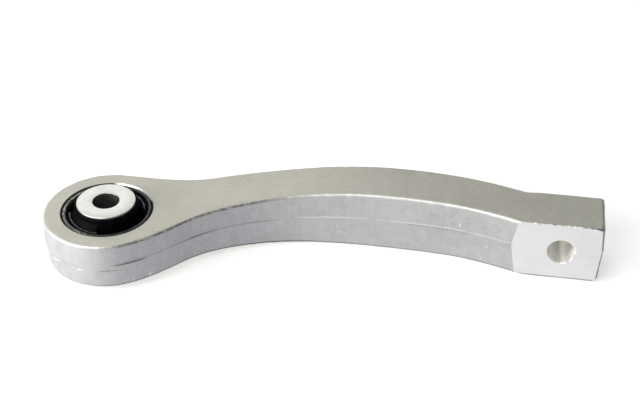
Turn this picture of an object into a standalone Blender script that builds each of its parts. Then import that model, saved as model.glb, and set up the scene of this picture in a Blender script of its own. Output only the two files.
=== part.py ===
"""Forged suspension link: a bowed aluminium arm with a bonded rubber bush in the eye
at one end and a milled block with a cross hole at the other."""
import math

import bmesh
import bpy
from mathutils import Matrix, Vector
from mathutils.geometry import interpolate_bezier

# Link layout, in metres. The bush axis is local X = Y = 0, and Z = 0 is mid-height.
HOLE_X = 0.2086             # bush axis to cross-hole axis, along the milled faces
FRONT_FACE_Y = 0.0170       # front milled face, measured from the bush axis
BLOCK_DEPTH = 0.0244        # front milled face to rear milled face
BLOCK_HALF_LENGTH = 0.0189  # cross-hole axis to the end of the block
BLOCK_CORNER = 0.0030
HOLE_RADIUS = 0.0063
HOLE_CHAMFER = 0.0003
MILLING_ALLOWANCE = 0.0012  # forged skin taken off each milled face
FRONT_MILL_START = 0.892    # shares of HOLE_X where the two milled faces begin
REAR_MILL_START = 0.915
MILL_SIZE = (0.070, 0.010, 0.060)

# Forging
EYE_WALL = 0.00903
EYE_HALF_HEIGHT = 0.01144
ARM_HALF_HEIGHT = 0.0152    # where the arm is deepest
BLOCK_HALF_HEIGHT = 0.0149
PARTING_Z = 0.0015          # the dies meet a little above mid-height
DRAFT_ANGLE = math.radians(4.2)
RIM_FILLET = 0.0014
EYE_CHAMFER = 0.0006

# Arm sides at the parting line: share of HOLE_X, height above the bush axis, heading
NEAR_SIDE = ((0.182, -0.0045, 49), (0.316, 0.0143, 24), (0.540, 0.0250, 3), (0.730, 0.0243, -4))
FAR_SIDE = ((0.607, 0.0517, 0), (0.205, 0.0343, 22))
SHOULDER_SHARE = 0.905      # where both sides run into the block
NEAR_SHOULDER = (-0.0010, -19)  # from the milled face, heading
FAR_SHOULDER = (0.0016, -17)
NEAR_LEAVES_EYE = math.radians(-60)
DEEPEST_SHARE = 0.62        # share of HOLE_X where the arm reaches its full height
STATION_STEP = 0.009        # spacing of the cross sections that carry the height
BLOCK_BLEND = 0.012         # the near side runs into the block over this length
BLOCK_STEP = 0.001          # extra forged stock outside the front face

# Bush, from the bolt outwards
BOLT_BORE_RADIUS = 0.0061
SLEEVE_RADIUS = 0.01357
SLEEVE_PROUD = 0.00475      # inner sleeve stands this far above the eye's face
SLEEVE_CHAMFER = 0.0004
WEB_THICKNESS = 0.00273
SKIN_THICKNESS = 0.0010
SKIN_SHORT = 0.0006         # the rubber skin stops this far short of the sleeve's end
SKIN_ROUND = 0.0004
STOP_THICKNESS = 0.0024
STOP_HALF_LENGTH = 0.0075
STOP_HALF_ANGLE = math.radians(17)
PLATE_THICKNESS = 0.0009
PLATE_BELOW_FACE = 0.0008
PLATE_EDGE = 0.0002
WEB_BELOW_FACE = 0.0012
WEB_TAPER = 0.0024
LINING_THICKNESS = 0.00085
LINING_BELOW_FACE = 0.0016
LINING_CHAMFER = 0.0002
OUTER_WALL = 0.0015
OUTER_BELOW_FACE = 0.0003
OUTER_CHAMFER = 0.0003
WEB_DIRECTION = math.radians(53)   # the two rubber webs lie on this line
WEB_HALF_ANGLE = math.radians(38.5)

# Clearances
BOND_GAP = 0.0002           # modelled gap at a bonded face
TILT_GAP = 0.00045          # room for the plates to tilt inside the lining
FIT_GAP = 0.0003            # modelled gap at the pressed-in outer sleeve
FACET_CLEAR = 0.0001        # keeps a cutter off the skin's facets

CUTTER_REACH = 0.002        # cutters stand this far out of the work

TURN_STEPS = 64
HOLE_STEPS = 48
RUN_STEPS = 5
FILLET_STEPS = 2
EYE_STEPS = 36
CORNER_STEPS = 5

# Sizes that follow
SKIN_IN = SLEEVE_RADIUS + BOND_GAP
SKIN_OUT = SKIN_IN + SKIN_THICKNESS
WEB_OUT = SKIN_IN + WEB_THICKNESS
PLATE_IN = WEB_OUT + BOND_GAP
PLATE_OUT = PLATE_IN + PLATE_THICKNESS
LINING_IN = PLATE_OUT + TILT_GAP
LINING_OUT = LINING_IN + LINING_THICKNESS
OUTER_IN = LINING_OUT + BOND_GAP
OUTER_OUT = OUTER_IN + OUTER_WALL
EYE_BORE = OUTER_OUT + FIT_GAP
EYE_RADIUS = EYE_BORE + EYE_WALL
SLEEVE_HALF_LENGTH = EYE_HALF_HEIGHT + SLEEVE_PROUD
BLOCK_END_X = HOLE_X + BLOCK_HALF_LENGTH
REAR_FACE_Y = FRONT_FACE_Y + BLOCK_DEPTH
ARM_TOP_Y = FAR_SIDE[0][1]

# The part's origin is under the middle of its overall box, on the floor
BUSH_CENTRE = Vector((-(BLOCK_END_X - EYE_RADIUS) / 2, -(ARM_TOP_Y - EYE_RADIUS) / 2, SLEEVE_HALF_LENGTH))


def clear_scene():
    for item in list(bpy.data.objects):
        bpy.data.objects.remove(item, do_unlink=True)


def make_collection(name):
    group = bpy.data.collections.new(name)
    bpy.context.scene.collection.children.link(group)
    return group


def make_material(name, colour, roughness, metallic):
    material = bpy.data.materials.new(name)
    material.use_nodes = True
    shader = material.node_tree.nodes["Principled BSDF"]
    shader.inputs["Base Color"].default_value = (*colour, 1.0)
    shader.inputs["Roughness"].default_value = roughness
    shader.inputs["Metallic"].default_value = metallic
    material.diffuse_color = (*colour, 1.0)
    return material


def place(name, mesh, group, material, smooth_angle=30):
    item = bpy.data.objects.new(name, mesh)
    group.objects.link(item)
    item.parent = bush_centre
    if material:
        mesh.materials.append(material)
        mesh.shade_smooth()
        mesh.set_sharp_from_angle(angle=math.radians(smooth_angle))
    else:
        item.hide_render = True
        item.display_type = 'WIRE'
    return item


def turned(name, profile, group, material, steps=TURN_STEPS):
    """Solid of revolution about local Z from a closed profile of (radius, height) points."""
    bm = bmesh.new()
    points = [bm.verts.new((radius, 0, height)) for radius, height in profile]
    for index, point in enumerate(points):
        bm.edges.new((point, points[(index + 1) % len(points)]))
    mesh = bpy.data.meshes.new(name)
    bm.to_mesh(mesh)
    bm.free()
    item = place(name, mesh, group, material)
    screw = item.modifiers.new("turn", 'SCREW')
    screw.steps = steps
    screw.render_steps = steps
    screw.use_merge_vertices = True
    screw.merge_threshold = 0.00001
    return item


def ring_sector(name, inner, outer, centre_angle, half_angle, half_height, group, material):
    """Block bent round the bush axis, from an outline of two arcs."""
    steps = max(4, round(TURN_STEPS * half_angle / math.pi))
    sweep = [centre_angle + half_angle * (2 * step / steps - 1) for step in range(steps + 1)]
    outline = [(outer * math.cos(a), outer * math.sin(a)) for a in sweep]
    outline += [(inner * math.cos(a), inner * math.sin(a)) for a in reversed(sweep)]
    bm = bmesh.new()
    verts = [bm.verts.new((x, y, -half_height)) for x, y in outline]
    edges = [bm.edges.new((vert, verts[index - 1])) for index, vert in enumerate(verts)]
    base = bmesh.ops.contextual_create(bm, geom=edges)
    lifted = bmesh.ops.extrude_face_region(bm, geom=base["faces"])
    verts = [v for v in lifted["geom"] if isinstance(v, bmesh.types.BMVert)]
    bmesh.ops.translate(bm, verts=verts, vec=(0, 0, 2 * half_height))
    bmesh.ops.recalc_face_normals(bm, faces=bm.faces)
    mesh = bpy.data.meshes.new(name)
    bm.to_mesh(mesh)
    bm.free()
    return place(name, mesh, group, material)


def boolean(item, tool, operation):
    modifier = item.modifiers.new(tool.name, 'BOOLEAN')
    modifier.operation = operation
    modifier.object = tool


def soften(item, width):
    bevel = item.modifiers.new("soft edges", 'BEVEL')
    bevel.width = width
    bevel.limit_method = 'ANGLE'
    bevel.angle_limit = math.radians(30)


def smooth_run(start, start_heading, end, end_heading, steps=RUN_STEPS):
    """Points of one curved run of the outline, without its last point."""
    start, end = Vector((*start, 0)), Vector((*end, 0))
    reach = (end - start).length / 3
    leave = start + reach * Vector((math.cos(start_heading), math.sin(start_heading), 0))
    arrive = end - reach * Vector((math.cos(end_heading), math.sin(end_heading), 0))
    return [tuple(p[:2]) for p in interpolate_bezier(start, leave, arrive, end, steps + 1)[:-1]]


def arc(centre_x, centre_y, radius, start, end, steps):
    angles = [start + (end - start) * step / steps for step in range(steps + 1)]
    return [(centre_x + radius * math.cos(a), centre_y + radius * math.sin(a)) for a in angles]


def parting_outline():
    """The link's outline where the dies meet, anticlockwise from where the near side leaves the eye."""
    near_side = (*NEAR_SIDE, (SHOULDER_SHARE, FRONT_FACE_Y + NEAR_SHOULDER[0], NEAR_SHOULDER[1]))
    far_side = ((SHOULDER_SHARE, REAR_FACE_Y + FAR_SHOULDER[0], FAR_SHOULDER[1]), *FAR_SIDE)
    near = [(share * HOLE_X, y, math.radians(heading)) for share, y, heading in near_side]
    far = [(share * HOLE_X, y, math.radians(heading)) for share, y, heading in far_side]
    leave = (EYE_RADIUS * math.cos(NEAR_LEAVES_EYE), EYE_RADIUS * math.sin(NEAR_LEAVES_EYE),
             NEAR_LEAVES_EYE + math.pi / 2)
    points = []
    stops = [leave] + near
    for (x0, y0, heading0), (x1, y1, heading1) in zip(stops, stops[1:]):
        points += smooth_run((x0, y0), heading0, (x1, y1), heading1)
    front = FRONT_FACE_Y - MILLING_ALLOWANCE - BLOCK_STEP
    rear = REAR_FACE_Y + MILLING_ALLOWANCE
    corner_x = BLOCK_END_X - BLOCK_CORNER
    shoulder_x = near[-1][0]
    points += smooth_run(near[-1][:2], near[-1][2], (shoulder_x + BLOCK_BLEND, front), 0, steps=3)
    points += arc(corner_x, front + BLOCK_CORNER, BLOCK_CORNER, -math.pi / 2, 0, CORNER_STEPS)
    points += arc(corner_x, rear - BLOCK_CORNER, BLOCK_CORNER, 0, math.pi / 2, CORNER_STEPS)
    stops = [(x, y, heading + math.pi) for x, y, heading in far] + [(0.0, EYE_RADIUS, math.pi)]
    points.append((shoulder_x + BLOCK_STEP, rear))
    for (x0, y0, heading0), (x1, y1, heading1) in zip(stops, stops[1:]):
        points += smooth_run((x0, y0), heading0, (x1, y1), heading1, RUN_STEPS + 3)
    points += arc(0, 0, EYE_RADIUS, math.pi / 2, 2 * math.pi + NEAR_LEAVES_EYE, EYE_STEPS)[:-1]
    return points


def half_height(x):
    """Half the forging's height at x: level over the eye, deepest in the arm, level on the block."""
    def ease(t):
        t = min(max(t, 0), 1)
        return t * t * (3 - 2 * t)
    deepest = DEEPEST_SHARE * HOLE_X
    if x < deepest:
        share = ease((x - EYE_RADIUS) / (deepest - EYE_RADIUS))
        return EYE_HALF_HEIGHT + share * (ARM_HALF_HEIGHT - EYE_HALF_HEIGHT)
    block_start = SHOULDER_SHARE * HOLE_X
    share = ease((x - deepest) / (block_start - deepest))
    return ARM_HALF_HEIGHT + share * (BLOCK_HALF_HEIGHT - ARM_HALF_HEIGHT)


def die_levels(direction):
    """Levels from the parting line to the flat: (height, inset), with draft and then the rim's fillet."""
    rim = direction * (EYE_HALF_HEIGHT - RIM_FILLET)
    drafted = abs(rim - PARTING_Z) * math.tan(DRAFT_ANGLE)
    levels = [(rim, drafted)]
    for step in range(1, FILLET_STEPS + 1):
        angle = math.pi / 2 * step / FILLET_STEPS
        height = rim + direction * RIM_FILLET * math.sin(angle)
        levels.append((height, drafted + RIM_FILLET * (1 - math.cos(angle))))
    return levels


def forged_blank():
    """The link as it leaves the dies, before the eye, the hole and the block's faces are cut."""
    bm = bmesh.new()
    home = bm.verts.layers.float_vector.new("home")
    inward = bm.verts.layers.float_vector.new("inward")
    outline = [Vector((x, y, 0)) for x, y in parting_outline()]
    verts = []
    for before, here, after in zip(outline[-1:] + outline, outline, outline[1:] + outline[:1]):
        first = Vector((0, 0, 1)).cross((here - before).normalized())
        second = Vector((0, 0, 1)).cross((after - here).normalized())
        vert = bm.verts.new((here.x, here.y, PARTING_Z))
        vert[home] = here
        vert[inward] = (first + second) / (1 + first.dot(second))
        verts.append(vert)
    parting = [bm.edges.new((vert, verts[index - 1])) for index, vert in enumerate(verts)]
    for direction in (1, -1):
        ring = parting
        for height, inset in die_levels(direction):
            grown = bmesh.ops.extrude_edge_only(bm, edges=ring)["geom"]
            fresh = {item for item in grown if isinstance(item, bmesh.types.BMVert)}
            for vert in fresh:
                vert.co = vert[home] + inset * vert[inward]
                vert.co.z = height
            ring = [item for item in grown
                    if isinstance(item, bmesh.types.BMEdge) and fresh.issuperset(item.verts)]
        bmesh.ops.contextual_create(bm, geom=ring)
    bmesh.ops.recalc_face_normals(bm, faces=bm.faces)

    stations = [EYE_RADIUS + step * STATION_STEP for step in range(math.ceil(BLOCK_END_X / STATION_STEP))]
    for x in stations:
        everything = bm.verts[:] + bm.edges[:] + bm.faces[:]
        bmesh.ops.bisect_plane(bm, geom=everything, dist=0.00001, plane_co=(x, 0, 0), plane_no=(1, 0, 0))
    for vert in bm.verts:
        place_in_span = max(vert.co.x - EYE_RADIUS, 0) / STATION_STEP
        station = math.floor(place_in_span + 0.0001)
        low = half_height(EYE_RADIUS + station * STATION_STEP)
        high = half_height(EYE_RADIUS + (station + 1) * STATION_STEP)
        height = low + (high - low) * (place_in_span - station)
        vert.co.z *= height / EYE_HALF_HEIGHT
    mesh = bpy.data.meshes.new("arm_forging")
    bm.to_mesh(mesh)
    bm.free()
    for name in ("home", "inward"):
        mesh.attributes.remove(mesh.attributes[name])
    return mesh


def arm_forging(group, cutters, material):
    arm = place("arm_forging", forged_blank(), group, material)
    bore = turned("eye_bore_cutter", chamfered_core(EYE_BORE, EYE_HALF_HEIGHT, EYE_CHAMFER), cutters, None)
    boolean(arm, bore, 'DIFFERENCE')
    hole = turned("cross_hole_cutter", chamfered_core(HOLE_RADIUS, BLOCK_DEPTH / 2, HOLE_CHAMFER),
                  cutters, None, HOLE_STEPS)
    hole.location = (HOLE_X, FRONT_FACE_Y + BLOCK_DEPTH / 2, 0)
    hole.rotation_euler = (math.pi / 2, 0, 0)
    boolean(arm, hole, 'DIFFERENCE')
    for name, start, face_y, side in (("front_mill", FRONT_MILL_START, FRONT_FACE_Y, -1),
                                      ("rear_mill", REAR_MILL_START, REAR_FACE_Y, 1)):
        bpy.ops.mesh.primitive_cube_add(size=1)
        mill = bpy.context.object
        mill.name = name
        mill.data.transform(Matrix.Diagonal((*MILL_SIZE, 1)))
        mill.users_collection[0].objects.unlink(mill)
        cutters.objects.link(mill)
        mill.parent = bush_centre
        mill.location = (start * HOLE_X + MILL_SIZE[0] / 2, face_y + side * MILL_SIZE[1] / 2, 0)
        mill.hide_render = True
        mill.display_type = 'WIRE'
        boolean(arm, mill, 'DIFFERENCE')
    return arm


def chamfered_core(radius, half_length, chamfer):
    """Profile of a round cutter that also breaks the edges of the hole's two mouths."""
    wide = radius + chamfer + CUTTER_REACH
    top = half_length + CUTTER_REACH
    right = [(wide, top), (radius, half_length - chamfer), (radius, chamfer - half_length), (wide, -top)]
    return right + [(0.0, -top), (0.0, top)]


def tube(outer, inner, half_length, outer_chamfer, inner_chamfer):
    """Closed profile of a tube with its four edges broken."""
    upper = [(inner + inner_chamfer, half_length), (outer - outer_chamfer, half_length),
             (outer, half_length - outer_chamfer)]
    right = upper + [(outer, outer_chamfer - half_length), (outer - outer_chamfer, -half_length)]
    left = [(inner + inner_chamfer, -half_length), (inner, inner_chamfer - half_length),
            (inner, half_length - inner_chamfer)]
    return right + left


def inner_rubber(group, cutters, material):
    """Bonded skin, two webs and two travel stops, moulded as one piece on the inner sleeve."""
    skin_top = SLEEVE_HALF_LENGTH - SKIN_SHORT
    web_top = EYE_HALF_HEIGHT - WEB_BELOW_FACE
    upper = [(SKIN_IN, skin_top), (SKIN_OUT - SKIN_ROUND, skin_top), (SKIN_OUT, skin_top - SKIN_ROUND),
             (SKIN_OUT, web_top + WEB_TAPER), (WEB_OUT, web_top)]
    lower = [(radius, -height) for radius, height in reversed(upper)]
    rubber = turned("inner_rubber", upper + lower, group, material)
    for name, turn in (("front", -math.pi / 2), ("rear", math.pi / 2)):
        direction = WEB_DIRECTION + turn
        void = ring_sector(name + "_void", SKIN_OUT + FACET_CLEAR, WEB_OUT + CUTTER_REACH, direction,
                           math.pi / 2 - WEB_HALF_ANGLE, SLEEVE_HALF_LENGTH, cutters, None)
        boolean(rubber, void, 'DIFFERENCE')
        stop = ring_sector(name + "_stop", (SKIN_IN + SKIN_OUT) / 2, SKIN_IN + STOP_THICKNESS, direction,
                           STOP_HALF_ANGLE, STOP_HALF_LENGTH, cutters, None)
        boolean(rubber, stop, 'UNION')
    return rubber


clear_scene()
parts = make_collection("suspension_link")
cutters = make_collection("cutters")
bush_centre = bpy.data.objects.new("bush_centre", None)
bush_centre.location = BUSH_CENTRE
parts.objects.link(bush_centre)

forged = make_material("forged aluminium", (0.56, 0.55, 0.51), 0.55, 0.6)
machined = make_material("machined aluminium", (0.80, 0.81, 0.82), 0.30, 1.0)
coated_steel = make_material("coated steel", (0.10, 0.11, 0.10), 0.45, 0.7)
bright_steel = make_material("bright steel", (0.45, 0.45, 0.48), 0.35, 1.0)
rubber_black = make_material("black rubber", (0.015, 0.015, 0.016), 0.60, 0.0)

arm_forging(parts, cutters, forged)
turned("inner_sleeve", tube(SLEEVE_RADIUS, BOLT_BORE_RADIUS, SLEEVE_HALF_LENGTH, SLEEVE_CHAMFER,
                            SLEEVE_CHAMFER), parts, machined)
inner_rubber(parts, cutters, rubber_black)
for side, turn in (("front", math.pi), ("rear", 0)):
    plate = ring_sector(side + "_support_plate", PLATE_IN, PLATE_OUT, WEB_DIRECTION + turn, WEB_HALF_ANGLE,
                        EYE_HALF_HEIGHT - PLATE_BELOW_FACE, parts, bright_steel)
    soften(plate, PLATE_EDGE)
turned("rubber_lining", tube(LINING_OUT, LINING_IN, EYE_HALF_HEIGHT - LINING_BELOW_FACE, LINING_CHAMFER,
                             LINING_CHAMFER), parts, rubber_black)
turned("outer_sleeve", tube(OUTER_OUT, OUTER_IN, EYE_HALF_HEIGHT - OUTER_BELOW_FACE, OUTER_CHAMFER,
                            OUTER_CHAMFER), parts, coated_steel)
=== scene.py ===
import math
import random

import bmesh
import bpy
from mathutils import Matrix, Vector, kdtree, noise
from mathutils.geometry import interpolate_bezier


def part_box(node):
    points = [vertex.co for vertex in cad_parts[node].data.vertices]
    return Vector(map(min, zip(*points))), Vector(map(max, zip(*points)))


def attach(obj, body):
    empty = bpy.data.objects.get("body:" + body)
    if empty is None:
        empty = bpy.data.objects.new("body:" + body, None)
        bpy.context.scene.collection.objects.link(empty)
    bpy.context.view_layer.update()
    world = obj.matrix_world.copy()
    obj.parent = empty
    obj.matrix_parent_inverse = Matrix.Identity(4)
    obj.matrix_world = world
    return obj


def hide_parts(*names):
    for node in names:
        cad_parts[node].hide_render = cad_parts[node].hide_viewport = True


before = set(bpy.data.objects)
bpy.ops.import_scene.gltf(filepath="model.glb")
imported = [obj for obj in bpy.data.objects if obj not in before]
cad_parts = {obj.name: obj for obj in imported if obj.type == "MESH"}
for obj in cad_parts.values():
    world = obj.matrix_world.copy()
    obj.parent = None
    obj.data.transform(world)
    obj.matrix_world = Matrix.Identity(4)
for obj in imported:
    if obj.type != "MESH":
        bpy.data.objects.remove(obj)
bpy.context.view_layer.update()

# Everything below is set out from the bush axis at the arm's mid-height.
sleeveLow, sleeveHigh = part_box("inner_sleeve")
bushCentre = (sleeveLow + sleeveHigh) / 2
chance = random.Random(41)


def clearSelection():
    if bpy.context.mode != 'OBJECT':
        bpy.ops.object.mode_set(mode='OBJECT')
    bpy.ops.object.select_all(action='DESELECT')


def startPiece(name):
    piece = bpy.context.object
    piece.name = name
    piece.data.name = name
    return piece


def editAll(piece):
    clearSelection()
    bpy.context.view_layer.objects.active = piece
    piece.select_set(True)
    bpy.ops.object.mode_set(mode='EDIT')
    bpy.ops.mesh.select_all(action='SELECT')


def applyAll(piece):
    clearSelection()
    bpy.context.view_layer.objects.active = piece
    for modifier in list(piece.modifiers):
        bpy.ops.object.modifier_apply(modifier=modifier.name)


def settle(piece, material=None, smoothAngle=30):
    # place goes into the mesh, the object stays at the origin
    clearSelection()
    bpy.context.view_layer.objects.active = piece
    piece.select_set(True)
    bpy.ops.object.transform_apply(location=True, rotation=True, scale=True)
    bpy.ops.object.shade_smooth_by_angle(angle=math.radians(smoothAngle))
    if material:
        piece.data.materials.clear()
        piece.data.materials.append(material)
    return piece


def turnedPiece(name, profile, material=None, steps=128, start=0, sweep=360, smoothAngle=30):
    # profile is a closed loop of (radius, height) spun round the bush axis
    clearSelection()
    bpy.ops.mesh.primitive_circle_add(vertices=len(profile), radius=0.01)
    piece = startPiece(name)
    aim = math.radians(start)
    for vert, (radius, height) in zip(piece.data.vertices, profile):
        vert.co = (radius * math.cos(aim), radius * math.sin(aim), height)
    editAll(piece)
    if sweep < 360:
        bpy.ops.mesh.edge_face_add()
    bpy.ops.mesh.spin(steps=steps, angle=-math.radians(sweep), center=(0, 0, 0), axis=(0, 0, 1))
    bpy.ops.mesh.select_all(action='SELECT')
    bpy.ops.mesh.remove_doubles(threshold=0.000004)
    bpy.ops.mesh.normals_make_consistent(inside=False)
    bpy.ops.object.mode_set(mode='OBJECT')
    piece.location = bushCentre
    return settle(piece, material, smoothAngle)


def roundedLoop(corners, radii, steps=4):
    # closed profile whose corners are rounded by their own radii
    loop = []
    for index, (corner, radius) in enumerate(zip(corners, radii)):
        here = Vector(corner)
        before = (Vector(corners[index - 1]) - here)
        after = (Vector(corners[(index + 1) % len(corners)]) - here)
        if radius == 0:
            loop.append(tuple(here))
            continue
        angle = before.angle(after)
        reach = min(radius / math.tan(angle / 2), before.length * 0.49, after.length * 0.49)
        first = here + before.normalized() * reach
        last = here + after.normalized() * reach
        for step in range(steps + 1):
            t = step / steps
            loop.append(tuple(first * (1 - t) ** 2 + here * (2 * t * (1 - t)) + last * t ** 2))
    return loop


def cut(piece, tool, operation='DIFFERENCE'):
    # the tool's own finish stays on the faces it leaves
    boolean = piece.modifiers.new("cut", 'BOOLEAN')
    boolean.operation = operation
    boolean.solver = 'EXACT'
    boolean.object = tool
    boolean.material_mode = 'TRANSFER'
    applyAll(piece)
    bpy.data.objects.remove(tool, do_unlink=True)


class Value:
    def __init__(self, finish, socket):
        self.finish, self.socket = finish, socket

    def maths(self, operation, *others, flip=False):
        terms = [self, *others]
        if flip:
            terms.reverse()
        return self.finish.node("Math", {"operation": operation}, dict(enumerate(terms)))

    def __add__(self, other):
        return self.maths('ADD', other)

    def __sub__(self, other):
        return self.maths('SUBTRACT', other)

    def __rsub__(self, other):
        return self.maths('SUBTRACT', other, flip=True)

    def __mul__(self, other):
        return self.maths('MULTIPLY', other)

    def __truediv__(self, other):
        return self.maths('DIVIDE', other)

    def __pow__(self, other):
        return self.maths('POWER', other)

    def __abs__(self):
        return self.maths('ABSOLUTE')

    __radd__ = __add__
    __rmul__ = __mul__

    def above(self, low, high):
        # 0 below low, 1 above high, smooth between; low and high may be swapped
        if low > high:
            return 1 - self.above(high, low)
        return self.finish.node("MapRange", {"interpolation_type": 'SMOOTHSTEP'},
                                {"Value": self, "From Min": low, "From Max": high})

    def capped(self):
        return self.finish.node("Clamp", {}, {"Value": self})


class Finish:
    def __init__(self, name, constants):
        self.material = bpy.data.materials.new(name)
        self.material.use_nodes = True
        self.tree = self.material.node_tree
        self.surface = self.tree.nodes["Principled BSDF"]
        for socket, value in constants.items():
            self.surface.inputs[socket].default_value = value
        self.place = self.node("TexCoord", {}, {}, "Object")

    def node(self, kind, settings, inputs, output=0):
        made = self.tree.nodes.new("ShaderNode" + kind)
        for key, value in settings.items():
            if key == "stops":
                ramp = made.color_ramp
                while len(ramp.elements) < len(value):
                    ramp.elements.new(0.5)
                for element, (spot, colour) in zip(ramp.elements, value):
                    element.position = spot
                    element.color = (*colour, 1)
            else:
                setattr(made, key, value)
        for key, value in inputs.items():
            if isinstance(value, Value):
                self.tree.links.new(value.socket, made.inputs[key])
            else:
                made.inputs[key].default_value = value
        return Value(self, made.outputs[output])

    def stretched(self, scale, turn=(0, 0, 0), shift=(0, 0, 0)):
        return self.node("Mapping", {}, {"Vector": self.place, "Location": shift, "Rotation": turn,
                                         "Scale": scale})

    def noise(self, scale, detail=4.0, roughness=0.55, where=None, distortion=0.0):
        return self.node("TexNoise", {}, {"Vector": where or self.place, "Scale": scale, "Detail": detail,
                                          "Roughness": roughness, "Distortion": distortion})

    def specks(self, scale, size, where=None):
        # scattered round dots, 1 inside a dot
        near = self.node("TexVoronoi", {}, {"Vector": where or self.place, "Scale": scale, "Randomness": 1.0})
        return near.above(size, size * 0.55)

    def colour(self, factor, first, second, blendType='MIX'):
        first = (*first, 1) if isinstance(first, tuple) else first
        second = (*second, 1) if isinstance(second, tuple) else second
        return self.node("Mix", {"data_type": 'RGBA', "blend_type": blendType},
                         {0: factor, 6: first, 7: second}, 2)

    def bump(self, height, distance, strength=1.0, normal=None):
        inputs = {"Strength": strength, "Distance": distance, "Height": height}
        if normal:
            inputs["Normal"] = normal
        return self.node("Bump", {}, inputs)

    def part(self, vector, axis):
        return self.node("SeparateXYZ", {}, {"Vector": vector}, axis)

    def feed(self, **sockets):
        for name, value in sockets.items():
            spaced = "".join(" " + c if c.isupper() else c for c in name).strip()
            self.tree.links.new(value.socket, self.surface.inputs[spaced])
        return self.material


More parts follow.
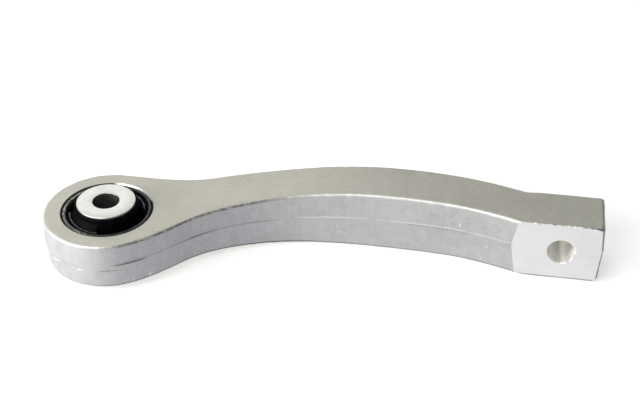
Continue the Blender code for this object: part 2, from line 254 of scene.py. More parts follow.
def forgedSkin():
    look = {
        "top": (0.560, 0.552, 0.488), "side": (0.436, 0.434, 0.428), "cool": (0.372, 0.374, 0.392),
        "litEyeWall": (0.66, 0.66, 0.68), "worn": (0.80, 0.80, 0.79), "bare": (0.84, 0.84, 0.83),
        "glint": (0.93, 0.93, 0.92), "lap": (0.92, 0.92, 0.90), "scuff": (0.86, 0.86, 0.87),
        "dark": (0.13, 0.125, 0.12), "under": (0.018, 0.018, 0.022), "metallic": 0.62,
        "litEyeWallFrom": -0.088, "litEyeWallTo": -0.106, "blockEndFrom": 0.10, "blockEndTo": 0.12, "lapDrop": 0.0021,
    }
    f = Finish("forgedSkin", {"Metallic": look["metallic"], "Specular IOR Level": 0.4})
    facing = f.node("NewGeometry", {}, {}, "Normal")
    up = abs(f.part(facing, "Z"))
    flat = up.above(0.35, 0.85)
    rim = up.above(0.16, 0.40) * up.above(0.95, 0.80)
    broad = f.noise(34, 3, 0.5)
    cloudy = f.noise(230, 5, 0.6)
    grain = f.noise(1900, 3, 0.6)
    coarse = f.noise(820, 4, 0.65)
    along = f.noise(300, 4, 0.6, f.stretched((0.10, 1.0, 1.0)))      # drawn out along the arm
    upright = f.noise(520, 4, 0.6, f.stretched((1.0, 1.0, 0.09)))    # tool marks on the walls
    flash = f.node("Attribute", {"attribute_name": "flashLine"}, {}, "Fac")
    # painted shade: this attribute marks the concave stretch of the near wall
    shadeStretch = f.node("Attribute", {"attribute_name": "shadeSide"}, {}, "Fac")

    # painted light: the top is paler and warmer than the walls; in the shade stretch the walls take a darker, cooler
    # painted shade
    colour = f.colour(flat, f.colour(shadeStretch, look["side"], look["cool"]), look["top"])
    # painted light: the walls left of the eye's centre are made paler
    colour = f.colour(f.part(f.place, "X").above(look["litEyeWallFrom"], look["litEyeWallTo"]) * (1 - flat) * 0.30,
                      colour, look["litEyeWall"])
    colour = f.colour((broad - 0.5) * 1.00 + 0.5, colour, f.colour(1.0, colour, (0.84, 0.84, 0.85), 'MULTIPLY'))
    shade = (cloudy - 0.5) * (0.36 - flat * 0.10) + (coarse - 0.5) * 0.18 + (grain - 0.5) * 0.12
    shade = shade + (along - 0.5) * 0.10 * flat + (upright - 0.5) * 0.16 * (1 - flat)
    colour = f.colour(shade.capped(), colour, look["worn"])
    colour = f.colour(((0 - shade) * 1.6).capped(), colour, look["dark"])

    torn = f.node("Mix", {"data_type": 'VECTOR'}, {0: 0.0012, 4: f.place, 5: f.node(
        "TexNoise", {}, {"Vector": f.place, "Scale": 900, "Detail": 2}, 1)}, 1)
    flecks = f.specks(430, 0.13, torn) * f.noise(60, 2).above(0.54, 0.64)
    colour = f.colour(flecks * 0.75, colour, look["dark"])
    glints = f.specks(620, 0.14, f.stretched((1, 1, 1), shift=(0.31, 0.2, 0.7))) * f.noise(85, 2).above(0.58, 0.68)
    colour = f.colour(glints * 0.8, colour, look["glint"])

    nearEdge = f.node("Attribute", {"attribute_name": "nearEdge"}, {}, "Fac") * flat
    # dark specks near the outline: grit everywhere, made much darker in the shade stretch as painted shadow
    grit = f.specks(840, 0.24, torn) * f.noise(190, 3, 0.6).above(0.47, 0.58) * nearEdge.above(0.10, 0.75)
    colour = f.colour(grit * (0.25 + shadeStretch * 0.60), colour, look["dark"])
    # painted glints: small bright specks near the outline
    bright = f.specks(980, 0.20, f.stretched((1, 1, 1), shift=(0.1, 0.4, 0.2))) * nearEdge.above(0.20, 0.80)
    colour = f.colour(bright * f.noise(240, 2).above(0.50, 0.60) * 0.7, colour, look["worn"])

    # bright broken rim: partly wear, partly painted highlight, left off in the shade stretch
    wornRimAndHighlight = rim * f.noise(150, 4, 0.7).above(0.22, 0.48)
    colour = f.colour(wornRimAndHighlight * (1 - shadeStretch) * 0.45, colour, look["worn"])
    # painted shade on faces turned downwards, stronger in the shade stretch
    below = f.part(facing, "Z").above(-0.13, -0.30) * f.part(facing, "Z").above(-0.98, -0.90)
    colour = f.colour(below * (0.50 + shadeStretch * 0.42), colour, look["under"])
    # painted contact shadow along the arm's lower edge
    lower = f.node("Attribute", {"attribute_name": "lowerEdge"}, {}, "Fac")
    colour = f.colour((lower * (0.92 + (coarse - 0.5) * 0.5)).capped(), colour, look["under"])
    # painted shade on the block's end faces
    blockEnd = f.part(f.place, "X").above(look["blockEndFrom"], look["blockEndTo"])
    blockEnd = f.part(facing, "X").above(0.25, 0.60) * blockEnd
    colour = f.colour(blockEnd * 0.62, colour, look["dark"])
    # painted shadow along the rim in the shade stretch
    colour = f.colour(rim * shadeStretch * f.noise(340, 3, 0.7).above(0.38, 0.52) * 0.72, colour, look["dark"])
    # flash ridge: pale sheared metal, partly painted highlight, outside the shade stretch; inside it painted shade
    # darkens the ridge
    flashOn = flash * f.noise(48, 3, 0.6).above(0.24, 0.42)
    colour = f.colour(flashOn * (1 - shadeStretch) * 0.45, colour, look["bare"])
    colour = f.colour(flashOn * shadeStretch * 0.70, colour, look["dark"])

    # forging lap low on the front of the eye
    eyeX = f.part(f.place, "X") - bushCentre.x
    eyeY = f.part(f.place, "Y") - bushCentre.y
    drop = f.part(f.place, "Z") - (bushCentre.z - look["lapDrop"]) - (f.noise(70, 2) - 0.5) * 0.004
    lap = abs(drop).above(0.00034, 0.00012) * eyeX.above(0.016, 0.010) * eyeY.above(-0.004, -0.010)
    lap = lap * f.noise(120, 3, 0.6).above(0.42, 0.52) * (1 - flat)
    lapDark = eyeX.above(-0.004, 0.002)
    colour = f.colour(lap * (1 - lapDark) * 0.75, colour, look["lap"])
    colour = f.colour(lap * lapDark * 0.55, colour, look["dark"])
    scuffs = f.noise(430, 3, 0.75, f.stretched((1, 1, 0.30))).above(0.66, 0.72) * (1 - flat) * (1 - rim)
    colour = f.colour(scuffs * f.noise(50, 2).above(0.44, 0.62) * 0.55, colour, look["scuff"])

    roughness = 0.56 + (cloudy - 0.5) * 0.16 + (grain - 0.5) * 0.14 - wornRimAndHighlight * 0.16 - flashOn * 0.15
    normal = f.bump(broad, 0.0009, 0.35)
    normal = f.bump(cloudy + upright * 0.6 * (1 - flat), 0.00022, 0.55, normal)
    marked = scuffs * 0.5 - flecks * 1.2 - grit * 0.8 - lap * 0.8
    normal = f.bump(coarse * 0.6 + grain + marked, 0.00009, 0.60, normal)
    return f.feed(BaseColor=colour, Roughness=roughness, Normal=normal)


def milledFace():
    look = {"base": (0.68, 0.675, 0.68), "mark": (0.55, 0.55, 0.56), "spacing": 0.00042,
            "fleck": (0.35, 0.35, 0.35), "edgeShadow": (0.12, 0.12, 0.12), "lowerEdge": 0.0149}
    f = Finish("milledFace", {"Metallic": 0.92})
    # arcs left by a face cutter passing along the block
    rows = f.stretched((1, 0, 1), shift=(-0.12, 0, 0.012))
    reach = f.node("VectorMath", {"operation": 'LENGTH'}, {0: rows}, "Value")
    wobble = f.noise(60, 2)
    marks = ((reach * (2 * math.pi / look["spacing"]) + wobble * 9).maths('SINE') + 1) * 0.5
    fine = f.noise(2600, 3, 0.6)
    patch = f.noise(90, 4, 0.6)
    worn = (marks * 0.16 + patch.above(0.40, 0.72) * 0.30 + fine * 0.10).capped()
    colour = f.colour(worn, look["base"], look["mark"])
    flecks = f.specks(380, 0.10) * f.noise(70, 2).above(0.60, 0.66)
    colour = f.colour(flecks * 0.5, colour, look["fleck"])
    # the lower edge is left unbroken; a painted contact shadow darkens it
    height = f.part(f.place, "Z") - (bushCentre.z - look["lowerEdge"])
    colour = f.colour(height.above(0.00075, 0.00035) * 0.85, colour, look["edgeShadow"])
    roughness = 0.30 + patch * 0.10 + fine * 0.08
    normal = f.bump(marks, 0.00002, 0.35)
    normal = f.bump(fine, 0.00002, 0.40, normal)
    return f.feed(BaseColor=colour, Roughness=roughness, Normal=normal)


def turnedMetal(name, base, dirt, grooves, spot):
    # grooves run round the axis through spot
    f = Finish(name, {"Metallic": 0.95})
    centred = f.stretched((1, 1, 0), shift=(-spot[0], -spot[1], 0))
    radius = f.node("VectorMath", {"operation": 'LENGTH'}, {0: centred}, "Value")
    wave = (((radius + f.part(f.place, "Z")) * (2 * math.pi / grooves)).maths('SINE') + 1) * 0.5
    fine = f.noise(3000, 3, 0.6)
    patch = f.noise(140, 5, 0.6)
    wide = f.noise(55, 2)
    blotch = f.noise(520, 4, 0.7).above(0.52, 0.66)
    worn = (wave * 0.06 + patch.above(0.42, 0.75) * 0.35 + fine * 0.16 + blotch * 0.30).capped()
    colour = f.colour(worn, base, dirt)
    colour = f.colour(f.specks(420, 0.12) * wide.above(0.56, 0.66) * 0.6, colour, (0.30, 0.30, 0.30))
    roughness = 0.28 + patch * 0.14 + fine * 0.08
    normal = f.bump(wave, 0.000025, 0.20)
    normal = f.bump(fine, 0.00002, 0.40, normal)
    return f.feed(BaseColor=colour, Roughness=roughness, Normal=normal)


def mouldedRubber():
    look = {"base": (0.0006, 0.0006, 0.0010), "dust": (0.008, 0.009, 0.013)}
    f = Finish("mouldedRubber", {"Specular IOR Level": 0.045})
    grain = f.noise(1500, 4, 0.65)
    bloom = f.noise(170, 5, 0.6)
    wide = f.noise(45, 3)
    dust = bloom.above(0.46, 0.74) * 0.30 + f.specks(520, 0.14) * wide.above(0.5, 0.62) * 0.4
    colour = f.colour(dust.capped(), look["base"], look["dust"])
    roughness = 0.46 + bloom * 0.16 + grain * 0.10
    normal = f.bump(grain, 0.00006, 0.5)
    normal = f.bump(bloom, 0.00020, 0.35, normal)
    return f.feed(BaseColor=colour, Roughness=roughness, Normal=normal)


def coatedSteel():
    look = {"base": (0.028, 0.033, 0.030), "worn": (0.20, 0.21, 0.19), "dark": (0.006, 0.007, 0.006),
            "chippedAndLit": (0.50, 0.51, 0.48)}
    f = Finish("coatedSteel", {"Metallic": 0.45, "Coat Roughness": 0.30, "Coat Weight": 0.15})
    grain = f.noise(1700, 4, 0.65)
    patch = f.noise(260, 5, 0.65)
    side = f.part(f.place, "X")
    # partly chipped coating, partly painted light: the speckle and a paler tone show only on the ring's left side
    speckled = (f.specks(820, 0.42) + f.noise(1150, 4, 0.75).above(0.53, 0.60)).capped()
    speckled = speckled * patch.above(0.40, 0.56) * side.above(-0.096, -0.114)
    colour = f.colour(patch.above(0.35, 0.75), look["base"], look["dark"])
    colour = f.colour(side.above(-0.100, -0.116) * 0.30, colour, look["worn"])
    colour = f.colour(speckled * 0.9, colour, look["chippedAndLit"])
    colour = f.colour(grain.above(0.60, 0.74) * 0.35, colour, look["worn"])
    roughness = 0.40 + patch * 0.18
    normal = f.bump(grain * 0.7 + speckled, 0.00006, 0.5)
    return f.feed(BaseColor=colour, Roughness=roughness, Normal=normal)


def plateSteel():
    look = {"base": (0.066, 0.070, 0.088), "dark": (0.012, 0.013, 0.016)}
    f = Finish("plateSteel", {"Metallic": 0.85})
    streaks = f.noise(700, 4, 0.6, f.stretched((1, 1, 0.12)))
    patch = f.noise(300, 5, 0.65)
    colour = f.colour(patch.above(0.40, 0.62) * 0.85 + streaks * 0.12, look["base"], look["dark"])
    roughness = 0.34 + patch * 0.20
    normal = f.bump(streaks, 0.00004, 0.5)
    return f.feed(BaseColor=colour, Roughness=roughness, Normal=normal)


def mouthMetal():
    # eye bore: painted highlight on the side away from the arm's end, painted shade elsewhere
    look = {"bare": (0.86, 0.86, 0.84), "stain": (0.055, 0.06, 0.055), "pitted": (0.30, 0.30, 0.29),
            "turn": 62, "width": 31, "radius": 0.0212}
    f = Finish("eyeBoreMetal", {"Metallic": 0.85})
    aim = math.radians(look["turn"])
    ahead = (f.part(f.place, "X") - bushCentre.x) * (math.cos(aim) / look["radius"])
    ahead = ahead + (f.part(f.place, "Y") - bushCentre.y) * (math.sin(aim) / look["radius"])
    ragged = (f.noise(260, 4, 0.7) - 0.5) * 0.10
    edge = math.cos(math.radians(look["width"]))
    bare = (ahead + ragged).above(edge - 0.05, edge + 0.03)
    fine = f.noise(2400, 3, 0.6)
    colour = f.colour(bare, look["stain"], look["bare"])
    colour = f.colour(f.noise(700, 3, 0.7).above(0.60, 0.68) * 0.35, colour, look["pitted"])
    return f.feed(BaseColor=colour, Roughness=0.42 + fine * 0.14, Normal=f.bump(fine, 0.00003, 0.5))


def drilledMetal():
    look = {"base": (0.93, 0.92, 0.88), "band": (0.66, 0.65, 0.62), "feed": 0.0011}
    f = Finish("drilledAluminium", {"Metallic": 0.55})
    bands = f.noise(420, 2, 0.5, f.stretched((1, 0.05, 0.0)))
    rings = ((f.part(f.place, "Y") * (2 * math.pi / look["feed"])).maths('SINE') + 1) * 0.5
    fine = f.noise(2200, 3, 0.6)
    banded = (bands.above(0.42, 0.60) * 0.75 + rings * 0.12 + fine * 0.12).capped()
    colour = f.colour(banded, look["base"], look["band"])
    normal = f.bump(rings * 0.5 + fine, 0.00003, 0.5)
    return f.feed(BaseColor=colour, Roughness=0.50 + fine * 0.12, Normal=normal)


def burrMetal():
    look = {"bright": (0.88, 0.88, 0.86), "dark": (0.06, 0.06, 0.058)}
    f = Finish("burrMetal", {"Metallic": 0.6})
    broken = f.noise(620, 4, 0.7)
    # darker where the attribute is set: the ridge's right end and the corner chunk
    darkened = f.node("Attribute", {"attribute_name": "stain"}, {}, "Fac")
    colour = f.colour((broken.above(0.46, 0.56) * 0.80 + darkened * 0.80).capped(), look["bright"], look["dark"])
    return f.feed(BaseColor=colour, Roughness=0.42 + broken * 0.2, Normal=f.bump(broken, 0.00012, 0.7))


forged = forgedSkin()
milled = milledFace()
mouth = mouthMetal()
drilled = drilledMetal()
burr = burrMetal()
sleeveMetal = turnedMetal("turnedAluminium", (0.62, 0.625, 0.61), (0.46, 0.46, 0.45), 0.00030, bushCentre)
darkBore = turnedMetal("sleeveBore", (0.24, 0.255, 0.235), (0.09, 0.10, 0.09), 0.00036, bushCentre)
rubber = mouldedRubber()
coated = coatedSteel()
plate = plateSteel()
print("finishes made")


armShape = {
    "eyeRadius": 0.02993, "eyeHalf": 0.01144, "armHalf": 0.0152, "blockHalf": 0.0149,
    "deepestX": 0.1293, "shoulderX": 0.18878,
    "parting": 0.0015, "draft": 4.2, "rimRadius": 0.0014, "around": 720, "wallRows": 11, "rimRows": 5,
    "flashWidth": 0.00030, "flashProud": 0.00012,
    "near": [(0.03797, -0.0045, 49), (0.06592, 0.0143, 24), (0.11264, 0.0250, 3), (0.15228, 0.0243, -4),
             (0.18878, 0.0160, -19), (0.20078, 0.0148, 0)],
    "far": [(0.2010, 0.0436, 180), (0.1895, 0.0430, 163), (0.12662, 0.0517, 180), (0.04276, 0.0343, 202),
            (0.0, 0.02993, 180)],
    # dents: how many, radius range, depth range; wave and ripple are the skin's unevenness
    "dents": 420, "dentRadius": (0.0010, 0.0026), "dentDepth": (0.00004, 0.00013),
    "wave": 0.00011, "ripple": 0.00005, "ragged": 0.00010, "gridSpan": 34,
    "leaveEye": -60, "blockEnd": 0.2275, "blockFront": 0.0148, "blockRear": 0.0436, "blockCorner": 0.0030,
    "frontCorner": 0.0050,
}
machining = {
    "frontFace": 0.0170, "rearFace": 0.0414, "frontStart": 0.1861, "rearStart": 0.1909,
    "millSize": (0.060, 0.010, 0.060), "boreRadius": 0.0209, "boreChamfer": 0.0006, "boreSteps": 160,
    "holeX": 0.2086, "holeRadius": 0.0063, "holeChamfer": 0.00035, "holeSteps": 96,
}


def curveRun(first, last, steps=40):
    (x0, y0, turn0), (x1, y1, turn1) = first, last
    a, b = Vector((x0, y0, 0)), Vector((x1, y1, 0))
    reach = (b - a).length / 3
    away = Vector((math.cos(math.radians(turn0)), math.sin(math.radians(turn0)), 0)) * reach
    into = Vector((math.cos(math.radians(turn1)), math.sin(math.radians(turn1)), 0)) * reach
    return [p for p in interpolate_bezier(a, a + away, b - into, b, steps + 1)[:-1]]


def arcRun(x, y, radius, start, end, steps=40):
    turns = [math.radians(start + (end - start) * s / steps) for s in range(steps)]
    return [Vector((x + radius * math.cos(t), y + radius * math.sin(t), 0)) for t in turns]


def armOutline(shape):
    # anticlockwise, evenly spaced, beginning at the block's front corner
    eye, leave = shape["eyeRadius"], shape["leaveEye"]
    corner, end = shape["blockCorner"], shape["blockEnd"] - shape["blockCorner"]
    front, frontX = shape["frontCorner"], shape["blockEnd"] - shape["frontCorner"]
    start = (eye * math.cos(math.radians(leave)), eye * math.sin(math.radians(leave)), leave + 90)
    line = arcRun(frontX, shape["blockFront"] + front, front, -45, 0, 14)
    line += arcRun(end, shape["blockRear"] - corner, corner, 0, 90, 20)
    stops = [(end, shape["blockRear"], 180)] + shape["far"]
    for first, last in zip(stops, stops[1:]):
        line += curveRun(first, last)
    line += arcRun(0, 0, eye, 90, 360 + leave, 160)
    stops = [start] + shape["near"]
    for first, last in zip(stops, stops[1:]):
        line += curveRun(first, last)
    line += arcRun(frontX, shape["blockFront"] + front, front, -90, -45, 14)
    line.append(line[0])
    lengths = [0]
    for a, b in zip(line, line[1:]):
        lengths.append(lengths[-1] + (b - a).length)
    points, index = [], 0
    for step in range(shape["around"]):
        want = lengths[-1] * step / shape["around"]
        while lengths[index + 1] < want:
            index += 1
        between = (want - lengths[index]) / max(lengths[index + 1] - lengths[index], 1e-9)
        points.append(line[index].lerp(line[index + 1], between))
    return points


def halfHeight(x, shape):
    def ease(t):
        t = min(max(t, 0), 1)
        return t * t * (3 - 2 * t)
    if x < shape["deepestX"]:
        rise = ease((x - shape["eyeRadius"]) / (shape["deepestX"] - shape["eyeRadius"]))
        return shape["eyeHalf"] + rise * (shape["armHalf"] - shape["eyeHalf"])
    fall = ease((x - shape["deepestX"]) / (shape["shoulderX"] - shape["deepestX"]))
    return shape["armHalf"] + fall * (shape["blockHalf"] - shape["armHalf"])


def share(value, start, end):
    # 0 at start, 1 at end, straight between
    return min(max((value - start) / (end - start), 0), 1)


def wallLevels(shape):
    # (height, inset) from the lower flat to the upper flat
    slope = math.tan(math.radians(shape["draft"]))
    levels = []
    for side in (-1, 1):
        rim = side * (shape["eyeHalf"] - shape["rimRadius"])
        span = abs(rim - shape["parting"])
        half = []
        for row in range(1, shape["wallRows"] + 1):
            away = shape["flashWidth"] + (span - shape["flashWidth"]) * row / shape["wallRows"]
            half.append((shape["parting"] + side * away, away * slope))
        for row in range(1, shape["rimRows"] + 1):
            turn = math.pi / 2 * row / shape["rimRows"]
            half.append((rim + side * shape["rimRadius"] * math.sin(turn),
                         span * slope + shape["rimRadius"] * (1 - math.cos(turn))))
        flash = [(shape["parting"] + side * shape["flashWidth"], 0.0),
                 (shape["parting"] + side * shape["flashWidth"] * 0.35, -shape["flashProud"])]
        if side < 0:
            levels += half[::-1] + flash
        else:
            levels += flash[::-1] + half
    return levels


def fillFlat(piece, height, span):
    bm = bmesh.from_edit_mesh(piece.data)
    for vert in bm.verts:
        vert.select = abs(vert.co.z - height) < 0.000001
    bm.select_flush_mode()
    bm.select_history.clear()
    ring = [vert for vert in bm.verts if vert.select]
    corner = Vector((armShape["blockEnd"] - armShape["frontCorner"] * 0.45, armShape["blockFront"] + 0.0025))
    first = min(ring, key=lambda v: (v.co.xy - corner).length)
    bm.select_history.add(first)
    bmesh.update_edit_mesh(piece.data)
    bpy.ops.mesh.fill_grid(span=span, offset=0)


def drillHole(piece, centre, turn, radius, chamfer, depth, steps, material):
    # one tool cuts the hole and breaks the edges of its two mouths
    out = 0.002
    clearSelection()
    bpy.ops.mesh.primitive_cylinder_add(vertices=steps, radius=radius, depth=depth - 2 * chamfer)
    drill = startPiece("drill")
    editAll(drill)
    for side in (-1, 1):
        bpy.ops.mesh.select_all(action='DESELECT')
        bm = bmesh.from_edit_mesh(drill.data)
        for face in bm.faces:
            face.select_set(face.normal.z * side > 0.9)
        bmesh.update_edit_mesh(drill.data)
        bpy.ops.mesh.extrude_region_move(TRANSFORM_OT_translate={"value": (0, 0, side * (chamfer + out))})
        wider = (radius + chamfer + out) / radius
        bpy.ops.transform.resize(value=(wider, wider, 1))
    bpy.ops.object.mode_set(mode='OBJECT')
    drill.location = bushCentre + centre
    drill.rotation_euler = turn
    cut(piece, settle(drill, material))


def forgedLink():
    shape = armShape
    clearSelection()
    bpy.ops.mesh.primitive_circle_add(vertices=shape["around"], radius=0.03)
    piece = startPiece("forgedLink")
    levels = wallLevels(shape)
    for vert, point in zip(piece.data.vertices, armOutline(shape)):
        vert.co = (point.x, point.y, levels[0][0])
    editAll(piece)
    # the outline belongs at the parting level: first draw it in to the lower flat's edge
    bpy.ops.mesh.extrude_edges_move(TRANSFORM_OT_translate={"value": (0, 0, 0.001)})
    bpy.ops.transform.shrink_fatten(value=-levels[0][1], use_even_offset=True)
    bpy.ops.transform.translate(value=(0, 0, -0.001))
    bm = bmesh.from_edit_mesh(piece.data)
    spare = [vert for vert in bm.verts if not vert.select]
    bmesh.ops.delete(bm, geom=spare, context='VERTS')
    bmesh.update_edit_mesh(piece.data)
    bpy.ops.mesh.select_all(action='SELECT')
    for (low, lowInset), (high, highInset) in zip(levels, levels[1:]):
        bpy.ops.mesh.extrude_edges_move(TRANSFORM_OT_translate={"value": (0, 0, high - low)})
        bpy.ops.transform.shrink_fatten(value=lowInset - highInset, use_even_offset=True)
    fillFlat(piece, levels[-1][0], shape["gridSpan"])
    fillFlat(piece, levels[0][0], shape["gridSpan"])
    bpy.ops.mesh.select_all(action='SELECT')
    bpy.ops.mesh.normals_make_consistent(inside=False)
    bpy.ops.object.mode_set(mode='OBJECT')
    # deepest in the middle of the arm, then the hammered unevenness of a forging
    dents = [(Vector((chance.uniform(-0.03, 0.19), chance.uniform(-0.03, 0.05), chance.uniform(-0.012, 0.012))),
              chance.uniform(*shape["dentRadius"]), chance.uniform(*shape["dentDepth"]))
             for _ in range(shape["dents"])]
    for vert in piece.data.vertices:
        vert.co.z *= halfHeight(vert.co.x, shape) / shape["eyeHalf"]
    normals = [vert.normal.copy() for vert in piece.data.vertices]
    for vert, normal in zip(piece.data.vertices, normals):
        spot = vert.co.copy()
        push = shape["wave"] * noise.noise(spot * 38) + shape["ripple"] * noise.noise(spot * 140 + Vector((5, 3, 1)))
        line = shape["parting"] * halfHeight(spot.x, shape) / shape["eyeHalf"]
        if abs(spot.z - line) < shape["flashWidth"] * 0.6 and abs(normal.z) < 0.9:
            # the ridge is ground away round the eye's end and here and there along the arm
            left = max(share(spot.x, -0.002, 0.010), 0.1)
            left *= min(max(0.75 + 1.6 * noise.noise(spot * 55), 0.1), 1)
            push -= shape["flashProud"] * (1 - left)
        level = abs(spot.z) / halfHeight(spot.x, shape)
        if 0.86 < level and normal.z * normal.z < 0.97:
            push += shape["ragged"] * noise.noise(spot * 420)      # rim left a little ragged
        for centre, radius, depth in dents:
            if abs(spot.x - centre.x) < radius:
                away = (spot - centre).length / radius
                if away < 1:
                    push -= depth * (1 - away * away) ** 2
        vert.co = spot + normal * push
    piece.location = bushCentre
    settle(piece, forged)
    print("forged blank", len(piece.data.polygons))

    # milled faces first, then the eye bore and the cross hole with their broken edges
    for start, face, side in ((machining["frontStart"], machining["frontFace"], -1),
                              (machining["rearStart"], machining["rearFace"], 1)):
        clearSelection()
        bpy.ops.mesh.primitive_cube_add(size=1)
        mill = startPiece("millTool")
        mill.scale = machining["millSize"]
        along, across, _ = machining["millSize"]
        mill.location = bushCentre + Vector((start + along / 2, face + side * across / 2, 0))
        cut(piece, settle(mill, milled))
    middle = (machining["frontFace"] + machining["rearFace"]) / 2
    drillHole(piece, Vector((0, 0, 0)), (0, 0, 0), machining["boreRadius"], machining["boreChamfer"],
              2 * shape["eyeHalf"], machining["boreSteps"], mouth)
    width = machining["rearFace"] - machining["frontFace"]
    drillHole(piece, Vector((machining["holeX"], middle, 0)), (math.pi / 2, 0, 0), machining["holeRadius"],
              machining["holeChamfer"], width, machining["holeSteps"], drilled)
    settle(piece)
    # marks for the finish: flash line, the stretch of painted shade, the painted contact shadow along the lower
    # edge, nearness to the outline
    outline = armOutline(shape)
    edges = kdtree.KDTree(len(outline))
    for index, point in enumerate(outline):
        edges.insert(point, index)
    edges.balance()
    marks = {"flashLine": [], "shadeSide": [], "lowerEdge": [], "nearEdge": []}
    for vert in piece.data.vertices:
        local = vert.co - bushCentre
        half = halfHeight(local.x, shape)
        away = abs(local.z - shape["parting"] * half / shape["eyeHalf"]) / (shape["flashWidth"] * 0.8)
        ground = max(share(local.x, -0.002, 0.010), 0.12)
        marks["flashLine"].append(max(0, 1 - away * away) * ground)
        marks["shadeSide"].append(share(local.x, 0.094, 0.064) * share(local.x, 0.0, 0.016))
        marks["nearEdge"].append(max(0, 1 - edges.find((local.x, local.y, 0))[2] / 0.0065))
        # painted contact shadow: a band just above the lower edge, strongest along the concave stretch
        depth = -local.z / half
        edge = 0.885 + 0.04 * share(local.x, 0.070, 0.105)
        stretch = share(local.x, 0.012, 0.027) * (0.30 + 0.70 * share(local.x, 0.118, 0.093))
        marks["lowerEdge"].append(share(depth, edge, edge + 0.02) * stretch * (1 if depth < 0.995 else 0))
    for name, values in marks.items():
        piece.data.attributes.new(name, 'FLOAT', 'POINT').data.foreach_set("value", values)
    piece.data.update()
    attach(piece, "link")
    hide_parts("arm_forging")
    print("link machined", len(piece.data.polygons))
    return piece


forgedLink()


burrShape = {
    "around": 10, "step": 0.00022, "ridgeRadius": 0.00034, "cornerRadius": 0.00070, "holeRadius": 0.00018,
    "ridgeStart": 0.1925, "ridgeLength": 0.0345, "cornerStart": 0.2230, "cornerLength": 0.0036, "darkFrom": 0.2205,
}


def burrRidge(name, path, radius, stain):
    # ragged ridge of metal left along an edge; it dies away in places
    lengths = [0]
    for a, b in zip(path, path[1:]):
        lengths.append(lengths[-1] + (b - a).length)
    rows = int(lengths[-1] / burrShape["step"])
    clearSelection()
    bpy.ops.mesh.primitive_grid_add(x_subdivisions=burrShape["around"], y_subdivisions=rows, size=0.01)
    piece = startPiece(name)
    across = burrShape["around"] + 1
    index = 0
    for row in range(rows + 1):
        want = lengths[-1] * row / rows
        while index < len(path) - 2 and lengths[index + 1] < want:
            index += 1
        spot = path[index].lerp(path[index + 1], (want - lengths[index]) / (lengths[index + 1] - lengths[index]))
        ahead = (path[index + 1] - path[index]).normalized()
        sideways = ahead.cross(Vector((0, 0, 1))).normalized()
        upwards = sideways.cross(ahead)
        taper = min(1, row / 6, (rows - row) / 6)
        size = radius * taper * max(0.45, 0.70 + 1.1 * noise.noise(spot * 760 + Vector((3, 1, 7))))
        for column in range(across):
            turn = 2 * math.pi * column / burrShape["around"]
            rough = 1 + 0.45 * noise.noise(spot * 900 + Vector((math.cos(turn), math.sin(turn), 0)))
            piece.data.vertices[row * across + column].co = spot + (
                sideways * math.cos(turn) + upwards * math.sin(turn)) * size * rough
    editAll(piece)
    bpy.ops.mesh.remove_doubles(threshold=0.000004)
    bpy.ops.mesh.normals_make_consistent(inside=False)
    bpy.ops.object.mode_set(mode='OBJECT')
    piece.location = bushCentre
    settle(piece, burr, 60)
    values = [stain((vert.co - bushCentre).x) for vert in piece.data.vertices]
    piece.data.attributes.new("stain", 'FLOAT', 'POINT').data.foreach_set("value", values)
    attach(piece, "link")


def blockBurrs():
    b = burrShape
    face, top = machining["frontFace"], armShape["blockHalf"]
    ridge = [Vector((b["ridgeStart"] + b["ridgeLength"] * t / 40, face + 0.00012, top - 0.00022)) for t in range(41)]
    burrRidge("blockBurr", ridge, b["ridgeRadius"], lambda x: 0.0 if x < b["darkFrom"] else 1.0)
    chunk = [Vector((b["cornerStart"] + b["cornerLength"] * t / 6, face + 0.00005, top - 0.0002 - 0.0006 * t / 6))
             for t in range(7)]
    burrRidge("cornerBurr", chunk, b["cornerRadius"], lambda x: 1.0)
    reach = machining["holeRadius"] + 0.0002
    turns = [math.radians(a) for a in range(-70, 6, 4)]
    mouthEdge = [Vector((machining["holeX"] + reach * math.cos(t), face + 0.00005, reach * math.sin(t)))
                 for t in turns]
    burrRidge("holeBurr", mouthEdge, b["holeRadius"], lambda x: 0.4)


blockBurrs()
print("burrs made")


def ringPiece(name, inner, outer, high, rounding, material, steps, start=0, sweep=360, roundSteps=4):
    # plain ring, or an arc of one, with rounded edges
    corners = [(inner, -high), (outer, -high), (outer, high), (inner, high)]
    return turnedPiece(name, roundedLoop(corners, rounding, roundSteps), material, steps, start, sweep)


def assign(piece, body, node):
    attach(piece, body)
    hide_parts(node)


bushLayout = {"eyeHalf": 0.01144, "webTurn": 53, "webHalf": 38.5}
sleeveShape = {"bolt": 0.0061, "radius": 0.01357, "half": 0.01619, "mouthBreak": 0.00022, "rimBreak": 0.00018,
               "softening": 0.00005, "boreSkin": 0.00012, "steps": 144}


def innerSleeve():
    b = sleeveShape
    high = b["half"]
    corners = [(b["bolt"], -high), (b["radius"], -high), (b["radius"], high), (b["bolt"], high)]
    bevelled = []
    for (radius, height), rim in zip(corners, (b["mouthBreak"], b["rimBreak"], b["rimBreak"], b["mouthBreak"])):
        inward = rim if radius == b["bolt"] else -rim
        down = -rim if height > 0 else rim
        pair = [(radius, height + down), (radius + inward, height)]
        if (radius == b["bolt"]) != (height < 0):
            pair.reverse()
        bevelled += pair
    profile = roundedLoop(bevelled, [b["softening"]] * len(bevelled), 2)
    piece = turnedPiece("innerSleeve", profile, sleeveMetal, b["steps"])
    piece.data.materials.append(darkBore)
    for face in piece.data.polygons:
        if (face.center - bushCentre).xy.length < b["bolt"] + b["boreSkin"]:
            face.material_index = 1
    assign(piece, "sleeve", "inner_sleeve")


rubberShape = {
    "inner": 0.01377, "skin": 0.01477, "web": 0.0165, "topDrop": 0.0006, "webDrop": 0.0012, "shoulder": 0.0030,
    "lip": 0.0003, "voidGap": 0.00015, "voidReach": 0.002, "stopIn": 0.0004, "stopOut": 0.0024,
    "stopHalf": 0.0075, "stopTip": 0.0068, "stopSweep": 34, "voxel": 0.00036, "smoothing": 4,
}


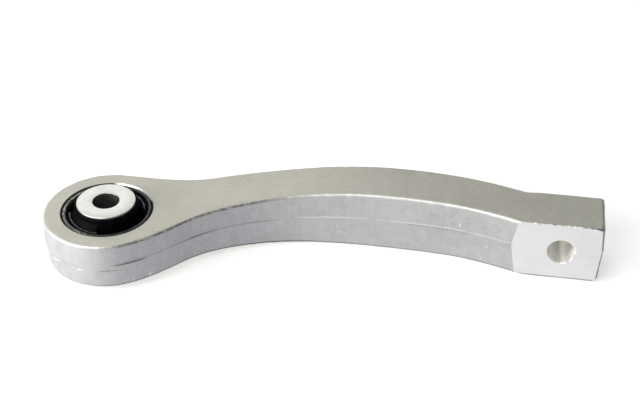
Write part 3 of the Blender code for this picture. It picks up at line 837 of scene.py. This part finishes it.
def innerRubber():
    b = rubberShape
    half = sleeveShape["half"]
    top, web = half - b["topDrop"], bushLayout["eyeHalf"] - b["webDrop"]
    upper = [(b["inner"], top), (b["skin"] - b["lip"], top), (b["skin"], web + b["shoulder"]), (b["web"], web)]
    profile = upper + [(radius, -height) for radius, height in reversed(upper)]
    piece = turnedPiece("innerRubber", profile, rubber, 96)
    voidIn, voidOut = b["skin"] + b["voidGap"], b["web"] + b["voidReach"]
    stopIn, stopOut = b["inner"] + b["stopIn"], b["inner"] + b["stopOut"]
    for side in (-90, 90):
        middle = bushLayout["webTurn"] + side
        spread = 90 - bushLayout["webHalf"]
        void = [(voidIn, -half), (voidOut, -half), (voidOut, half), (voidIn, half)]
        cut(piece, turnedPiece("voidTool", void, rubber, 24, middle - spread, 2 * spread))
        stop = [(stopIn, -b["stopHalf"]), (stopOut, -b["stopTip"]), (stopOut, b["stopTip"]), (stopIn, b["stopHalf"])]
        cut(piece, turnedPiece("stopTool", stop, rubber, 10, middle - b["stopSweep"] / 2, b["stopSweep"]), 'UNION')
    remesh = piece.modifiers.new("moulded", 'REMESH')
    remesh.mode = 'VOXEL'
    remesh.voxel_size = b["voxel"]
    soften = piece.modifiers.new("soft corners", 'SMOOTH')
    soften.factor = 0.5
    soften.iterations = b["smoothing"]
    applyAll(piece)
    settle(piece, rubber, 60)
    assign(piece, "sleeve", "inner_rubber")


liningShape = {"inner": 0.01805, "outer": 0.0189, "drop": 0.0016, "rounding": (0.0003, 0.0002, 0.0002, 0.0003)}


def rubberLining():
    b = liningShape
    high = bushLayout["eyeHalf"] - b["drop"]
    piece = ringPiece("rubberLining", b["inner"], b["outer"], high, b["rounding"], rubber, 128)
    assign(piece, "link", "rubber_lining")


outerShape = {"inner": 0.0191, "outer": 0.0206, "drop": 0.0003, "rounding": (0.00035, 0.0005, 0.0005, 0.00035)}


def outerSleeve():
    b = outerShape
    high = bushLayout["eyeHalf"] - b["drop"]
    piece = ringPiece("outerSleeve", b["inner"], b["outer"], high, b["rounding"], coated, 144)
    assign(piece, "link", "outer_sleeve")


plateShape = {"inner": 0.0167, "outer": 0.0176, "drop": 0.0008, "rounding": (0.00022, 0.00022, 0.00022, 0.00022)}


def supportPlate(name, node, turn):
    b = plateShape
    high, half = bushLayout["eyeHalf"] - b["drop"], bushLayout["webHalf"]
    start = bushLayout["webTurn"] + turn - half
    piece = ringPiece(name, b["inner"], b["outer"], high, b["rounding"], plate, 48, start, 2 * half, 3)
    assign(piece, "plates", node)


innerSleeve()
innerRubber()
rubberLining()
outerSleeve()
supportPlate("frontSupportPlate", "front_support_plate", 180)
supportPlate("rearSupportPlate", "rear_support_plate", 0)
print("bush made")


stageLook = {
    "floor": (0.66, 0.66, 0.66), "floorWorn": (0.62, 0.62, 0.62), "floorGlow": 0.54,
    "worldColour": (0.98, 0.99, 1.0), "worldStrength": 0.26,
    "cameraOffset": (0.1751025, -0.4491496, 0.34868), "cameraHeading": (-0.16504760586, 0.98628560154),
    "cameraPitch": 35.132, "lens": 70.52,
}
lamps = [
    # name, place from the arm's middle, aim, width, height, watts, colour
    ("left", (-0.92, -0.58, 0.42), (0, 0, 0), 0.50, 0.50, 13.2, (1.0, 1.0, 1.0)),
    ("frontTop", (-0.30, -0.75, 0.80), (0, 0, 0), 0.45, 0.45, 5.2, (1.0, 0.995, 0.985)),
    ("overhead", (-0.10, 0.15, 1.10), (0, 0, 0), 1.10, 0.80, 1.5, (1.0, 0.985, 0.95)),
    ("backLeft", (-0.60, 0.95, 0.70), (0, 0, 0), 0.90, 0.60, 3.3, (1.0, 0.98, 0.93)),
]


def buildStage():
    clearSelection()
    bpy.ops.mesh.primitive_grid_add(x_subdivisions=8, y_subdivisions=8, size=6)
    floor = startPiece("floor")
    f = Finish("paleFloor", {"Roughness": 0.9, "Emission Strength": stageLook["floorGlow"]})
    faint = f.noise(3, 2)
    f.feed(BaseColor=f.colour(faint * 0.15, stageLook["floor"], stageLook["floorWorn"]),
           EmissionColor=f.colour(faint * 0.05, (1.0, 1.0, 1.0), (0.98, 0.98, 0.98)))
    settle(floor, f.material)
    world = bpy.data.worlds.new("studio")
    bpy.context.scene.world = world
    world.use_nodes = True
    background = world.node_tree.nodes["Background"]
    background.inputs["Color"].default_value = (*stageLook["worldColour"], 1)
    background.inputs["Strength"].default_value = stageLook["worldStrength"]
    for name, place, aim, width, height, watts, colour in lamps:
        light = bpy.data.lights.new(name, 'AREA')
        light.shape = 'RECTANGLE'
        light.size, light.size_y = width, height
        light.energy = watts
        light.color = colour
        lamp = bpy.data.objects.new(name, light)
        bpy.context.scene.collection.objects.link(lamp)
        lamp.location = place
        lamp.rotation_euler = (Vector(aim) - Vector(place)).to_track_quat('-Z', 'Y').to_euler()


def buildCamera():
    camera = bpy.data.cameras.new("camera")
    camera.lens = stageLook["lens"]
    camera.clip_start = 0.01
    viewer = bpy.data.objects.new("camera", camera)
    bpy.context.scene.collection.objects.link(viewer)
    pitch = math.radians(stageLook["cameraPitch"])
    heading = Vector((*stageLook["cameraHeading"], 0))
    look = heading * math.cos(pitch) - Vector((0, 0, math.sin(pitch)))
    viewer.location = bushCentre + Vector(stageLook["cameraOffset"])
    viewer.rotation_euler = look.to_track_quat('-Z', 'Y').to_euler()
    bpy.context.scene.camera = viewer


buildStage()
buildCamera()
bpy.context.scene.view_settings.view_transform = 'Standard'
print("stage, lights and camera set")
